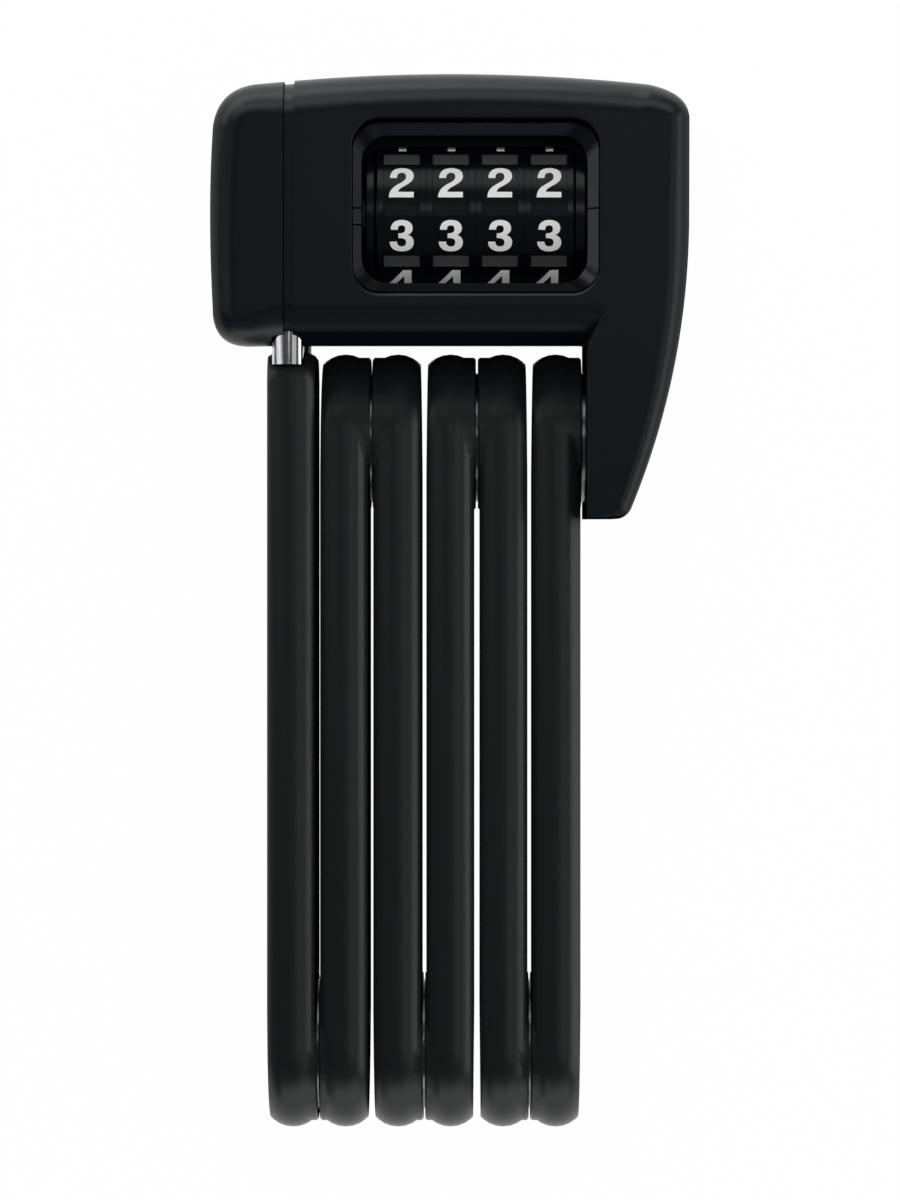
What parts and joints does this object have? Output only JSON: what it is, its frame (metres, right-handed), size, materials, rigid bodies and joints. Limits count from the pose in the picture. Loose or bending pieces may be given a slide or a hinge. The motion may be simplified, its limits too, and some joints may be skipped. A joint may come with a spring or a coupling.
{
  "type": "folding bike lock",
  "caption": "Folding bicycle lock with a number-dial lock body, coated steel bars hinged on rivets, and a locking pin on the last bar that plugs into the body.",
  "frame": {"origin": "centre of the folded lock's outline, on the flat back that the lock body lies on", "axes": "+X across the folded bars towards the leg of the lock body, +Y along the bars towards the lock body, +Z out of the number dials"},
  "size_m": [0.0762, 0.1688, 0.034],
  "materials": {
    "housing_plastic": "satin black moulding",
    "bar_coating": "satin black coating",
    "dial_plastic": "satin black moulding",
    "chrome": "polished",
    "steel": "turned and stamped",
    "case_steel": "milled",
    "brass": "turned",
    "spring_steel": "drawn wire and strip"
  },
  "bodies": {
    "lock_body": {"front_cover": "housing_plastic", "rear_cover": "housing_plastic", "end_cap": "housing_plastic", "dial_frame": "housing_plastic", "lock_case": "case_steel", "socket_bush": "steel", "dial_sleeve": "steel", "latch_spring": "spring_steel", "detent_spring": "spring_steel", "dial_collar_left": "dial_plastic", "dial_collar_right": "dial_plastic", "hinge_rivet_1": "steel", "hinge_spacer_1": "steel"},
    "latch": {"latch_spindle": "steel"},
    "dial_1": {"number_ring_1": "dial_plastic", "code_ring_1": "brass"},
    "dial_2": {"number_ring_2": "dial_plastic", "code_ring_2": "brass"},
    "dial_3": {"number_ring_3": "dial_plastic", "code_ring_3": "brass"},
    "dial_4": {"number_ring_4": "dial_plastic", "code_ring_4": "brass"},
    "bar_1": {"bar_core_1": "steel", "bar_jacket_1": "bar_coating", "hinge_rivet_2": "steel", "hinge_spacer_2": "steel"},
    "bar_2": {"bar_core_2": "steel", "bar_jacket_2": "bar_coating", "hinge_rivet_3": "steel", "hinge_spacer_3": "steel"},
    "bar_3": {"bar_core_3": "steel", "bar_jacket_3": "bar_coating", "hinge_rivet_4": "steel", "hinge_spacer_4": "steel"},
    "bar_4": {"bar_core_4": "steel", "bar_jacket_4": "bar_coating", "hinge_rivet_5": "steel", "hinge_spacer_5": "steel"},
    "bar_5": {"bar_core_5": "steel", "bar_jacket_5": "bar_coating", "hinge_rivet_6": "steel", "hinge_spacer_6": "steel"},
    "bar_6": {"bar_core_6": "steel", "bar_jacket_6": "bar_coating", "locking_pin": "chrome"}
  },
  "joints": [
    {"name": "hinge_1", "type": "hinge", "parent": "lock_body", "child": "bar_1", "pos_m": [0.01705, 0.0263, 0.017], "axis": [-1, 0, 0], "range_deg": [0, 90]},
    {"name": "hinge_2", "type": "hinge", "parent": "bar_1", "child": "bar_2", "pos_m": [0.00858, -0.0717, 0.017], "axis": [-1, 0, 0], "range_deg": [0, 90]},
    {"name": "hinge_3", "type": "hinge", "parent": "bar_2", "child": "bar_3", "pos_m": [0.00011, 0.0263, 0.017], "axis": [-1, 0, 0], "range_deg": [-180, 0]},
    {"name": "hinge_4", "type": "hinge", "parent": "bar_3", "child": "bar_4", "pos_m": [-0.00836, -0.0717, 0.017], "axis": [-1, 0, 0], "range_deg": [-180, 0]},
    {"name": "hinge_5", "type": "hinge", "parent": "bar_4", "child": "bar_5", "pos_m": [-0.01683, 0.0263, 0.017], "axis": [-1, 0, 0], "range_deg": [0, 90]},
    {"name": "hinge_6", "type": "hinge", "parent": "bar_5", "child": "bar_6", "pos_m": [-0.0253, -0.0717, 0.017], "axis": [-1, 0, 0], "range_deg": [0, 90]},
    {"name": "dial_turn_1", "type": "hinge", "parent": "lock_body", "child": "dial_1", "pos_m": [-0.00765, 0.0622, 0.017], "axis": [1, 0, 0], "continuous": true},
    {"name": "dial_turn_2", "type": "hinge", "parent": "lock_body", "child": "dial_2", "pos_m": [0.00018, 0.0622, 0.017], "axis": [1, 0, 0], "continuous": true},
    {"name": "dial_turn_3", "type": "hinge", "parent": "lock_body", "child": "dial_3", "pos_m": [0.00801, 0.0622, 0.017], "axis": [1, 0, 0], "continuous": true},
    {"name": "dial_turn_4", "type": "hinge", "parent": "lock_body", "child": "dial_4", "pos_m": [0.01584, 0.0622, 0.017], "axis": [1, 0, 0], "continuous": true},
    {"name": "latch_slide", "type": "slide", "parent": "lock_body", "child": "latch", "axis": [-1, 0, 0], "range_m": [0, 0.0025], "deforming": ["latch_spring"]}
  ],
  "couplings": [
    {"joint": "hinge_2", "follows": "hinge_1", "ratio": 1},
    {"joint": "hinge_3", "follows": "hinge_1", "ratio": -2},
    {"joint": "hinge_4", "follows": "hinge_1", "ratio": -2},
    {"joint": "hinge_5", "follows": "hinge_1", "ratio": 1},
    {"joint": "hinge_6", "follows": "hinge_1", "ratio": 1}
  ]
}
